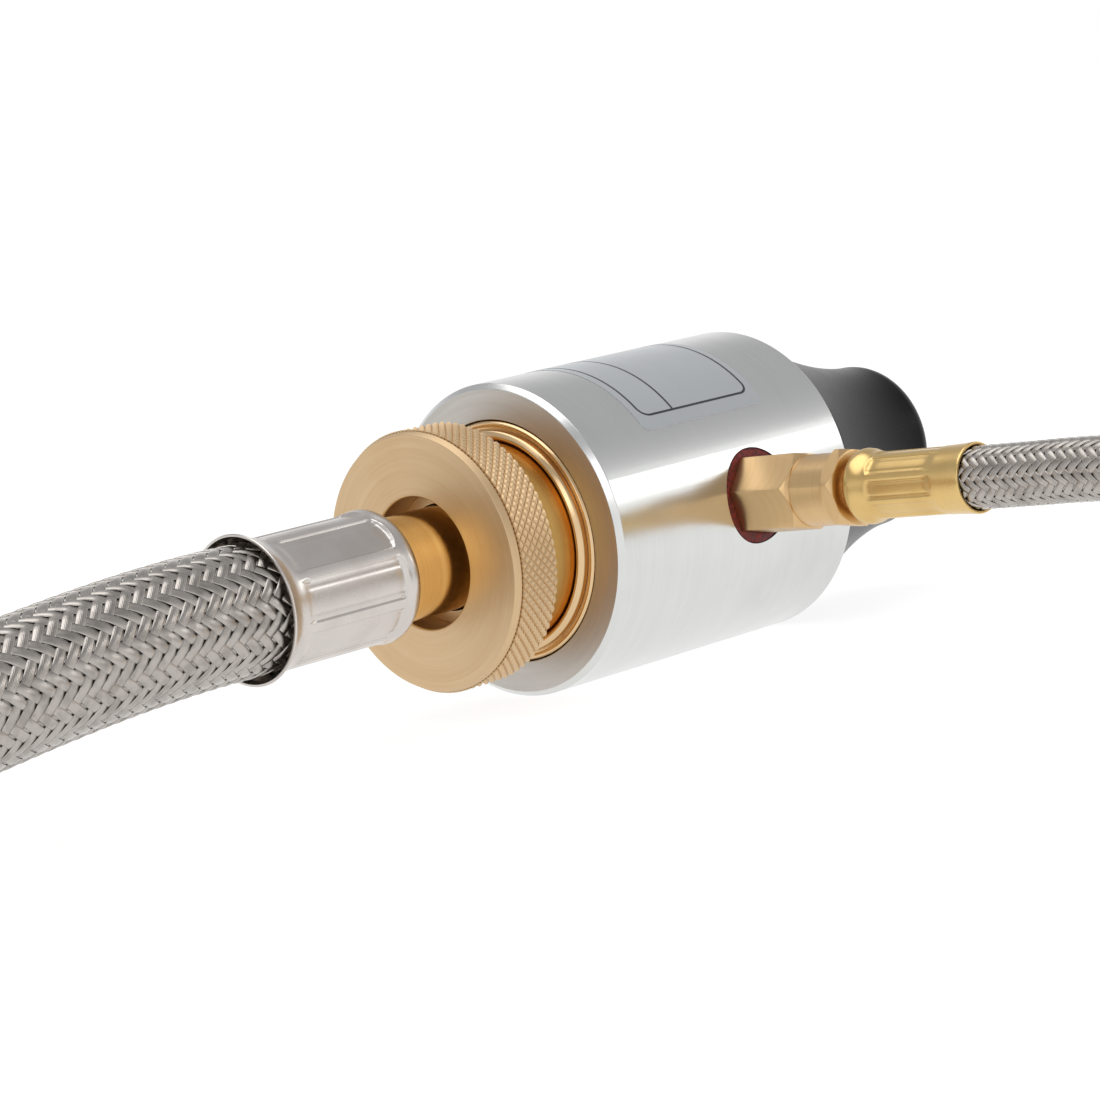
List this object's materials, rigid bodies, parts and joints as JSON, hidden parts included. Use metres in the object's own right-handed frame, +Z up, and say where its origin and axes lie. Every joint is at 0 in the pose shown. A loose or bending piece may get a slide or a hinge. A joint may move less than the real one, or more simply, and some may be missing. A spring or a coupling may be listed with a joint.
{
  "type": "propane regulator hose",
  "caption": "In-line gas regulator in a round metal sleeve, with a knurled coupling nut, a rubber vent boot and braided hoses that end in gas fittings.",
  "frame": {"origin": "on the floor that the part lies on, under the middle of the regulator with its outlet tube and inlet adapter", "axes": "+Y along the regulator from its outlet to its rubber boot, +X the way the inlet branch points, +Z up"},
  "size_m": [0.2908, 0.7323, 0.06],
  "materials": {
    "cover_aluminium": "satin, turned, with a polished front bevel",
    "satin_brass": "satin, turned",
    "knurled_brass": "satin, with a diamond knurl",
    "polished_brass": "polished",
    "yellow_brass": "bright, crimped",
    "zinc_casting": "as cast, machined on its seats",
    "plain_steel": "pressed, plated",
    "spring_steel": "drawn wire",
    "crimped_stainless": "satin, with polished crimp flats",
    "braided_hose": "stainless braid over a rubber tube",
    "filter_mesh": "sintered",
    "black_rubber": "moulded",
    "boot_rubber": "satin, moulded",
    "red_sealant": "cured thread paste, rough",
    "white_nylon": "machined",
    "strap_fabric": "woven hook-and-loop strap"
  },
  "bodies": {
    "regulator": {"cover": "cover_aluminium", "outlet_collar": "satin_brass", "valve_body": "zinc_casting", "valve_seat": "satin_brass", "valve_plug": "satin_brass", "diaphragm": "black_rubber", "bonnet": "zinc_casting", "retaining_ring": "spring_steel", "outlet_nipple": "polished_brass", "nipple_orings": "black_rubber", "outlet_ferrule": "crimped_stainless", "outlet_hose": "braided_hose", "outlet_coil": "braided_hose", "outlet_tie": "strap_fabric", "outlet_hose_ends": "black_rubber", "outlet_end_ferrule": "crimped_stainless", "outlet_end_nipple": "polished_brass", "inlet_adapter": "satin_brass", "thread_sealant": "red_sealant", "inlet_filter": "filter_mesh", "inlet_ferrule": "yellow_brass", "inlet_hose": "braided_hose", "inlet_coil": "braided_hose", "inlet_tie": "strap_fabric", "inlet_hose_ends": "black_rubber", "inlet_end_ferrule": "yellow_brass", "bullet_nipple": "polished_brass", "bullet_oring": "black_rubber"},
    "diaphragm_plate": {"diaphragm_plate": "plain_steel", "main_spring": "spring_steel"},
    "valve_poppet": {"valve_poppet": "satin_brass", "poppet_seal": "black_rubber", "poppet_spring": "spring_steel"},
    "spring_button": {"spring_button": "satin_brass"},
    "adjusting_screw": {"adjusting_screw": "satin_brass"},
    "vent_boot": {"vent_boot": "boot_rubber"},
    "thrust_washer": {"thrust_washer": "white_nylon"},
    "coupling_nut": {"coupling_nut": "knurled_brass"},
    "swivel_nut": {"swivel_nut": "satin_brass"},
    "cylinder_nut": {"cylinder_nut": "satin_brass"}
  },
  "joints": [
    {"name": "nut_travel", "type": "slide", "parent": "regulator", "child": "thrust_washer", "axis": [0, -1, 0], "range_m": [0, 0.008]},
    {"name": "nut_spin", "type": "hinge", "parent": "thrust_washer", "child": "coupling_nut", "pos_m": [-0.025, -0.04, 0.03], "axis": [0, -1, 0], "range_deg": [0, 1440]},
    {"name": "diaphragm_slide", "type": "slide", "parent": "regulator", "child": "diaphragm_plate", "axis": [0, -1, 0], "range_m": [0, 0.0012], "stiffness_N_per_m": 1500},
    {"name": "poppet_slide", "type": "slide", "parent": "regulator", "child": "valve_poppet", "axis": [0, -1, 0], "range_m": [0, 0.0012]},
    {"name": "button_slide", "type": "slide", "parent": "regulator", "child": "spring_button", "axis": [0, 1, 0], "range_m": [0, 0.003]},
    {"name": "screw_spin", "type": "hinge", "parent": "spring_button", "child": "adjusting_screw", "pos_m": [-0.025, 0.066, 0.03], "axis": [0, 1, 0], "range_deg": [0, 1090]},
    {"name": "boot_pull", "type": "slide", "parent": "regulator", "child": "vent_boot", "axis": [0, 1, 0], "range_m": [0, 0.05]},
    {"name": "swivel_nut_spin", "type": "hinge", "parent": "regulator", "child": "swivel_nut", "pos_m": [0.05654, -0.56186, 0.03948], "axis": [0.7071, -0.7071, 0], "continuous": true},
    {"name": "cylinder_nut_spin", "type": "hinge", "parent": "regulator", "child": "cylinder_nut", "pos_m": [0.1227, 0.1335, 0.0196], "axis": [-1, 0, 0], "continuous": true}
  ],
  "couplings": [
    {"joint": "nut_travel", "follows": "nut_spin", "m_per_rad": 0.000318},
    {"joint": "poppet_slide", "follows": "diaphragm_slide", "ratio": 1},
    {"joint": "screw_spin", "follows": "button_slide", "rad_per_m": 6283.2}
  ]
}
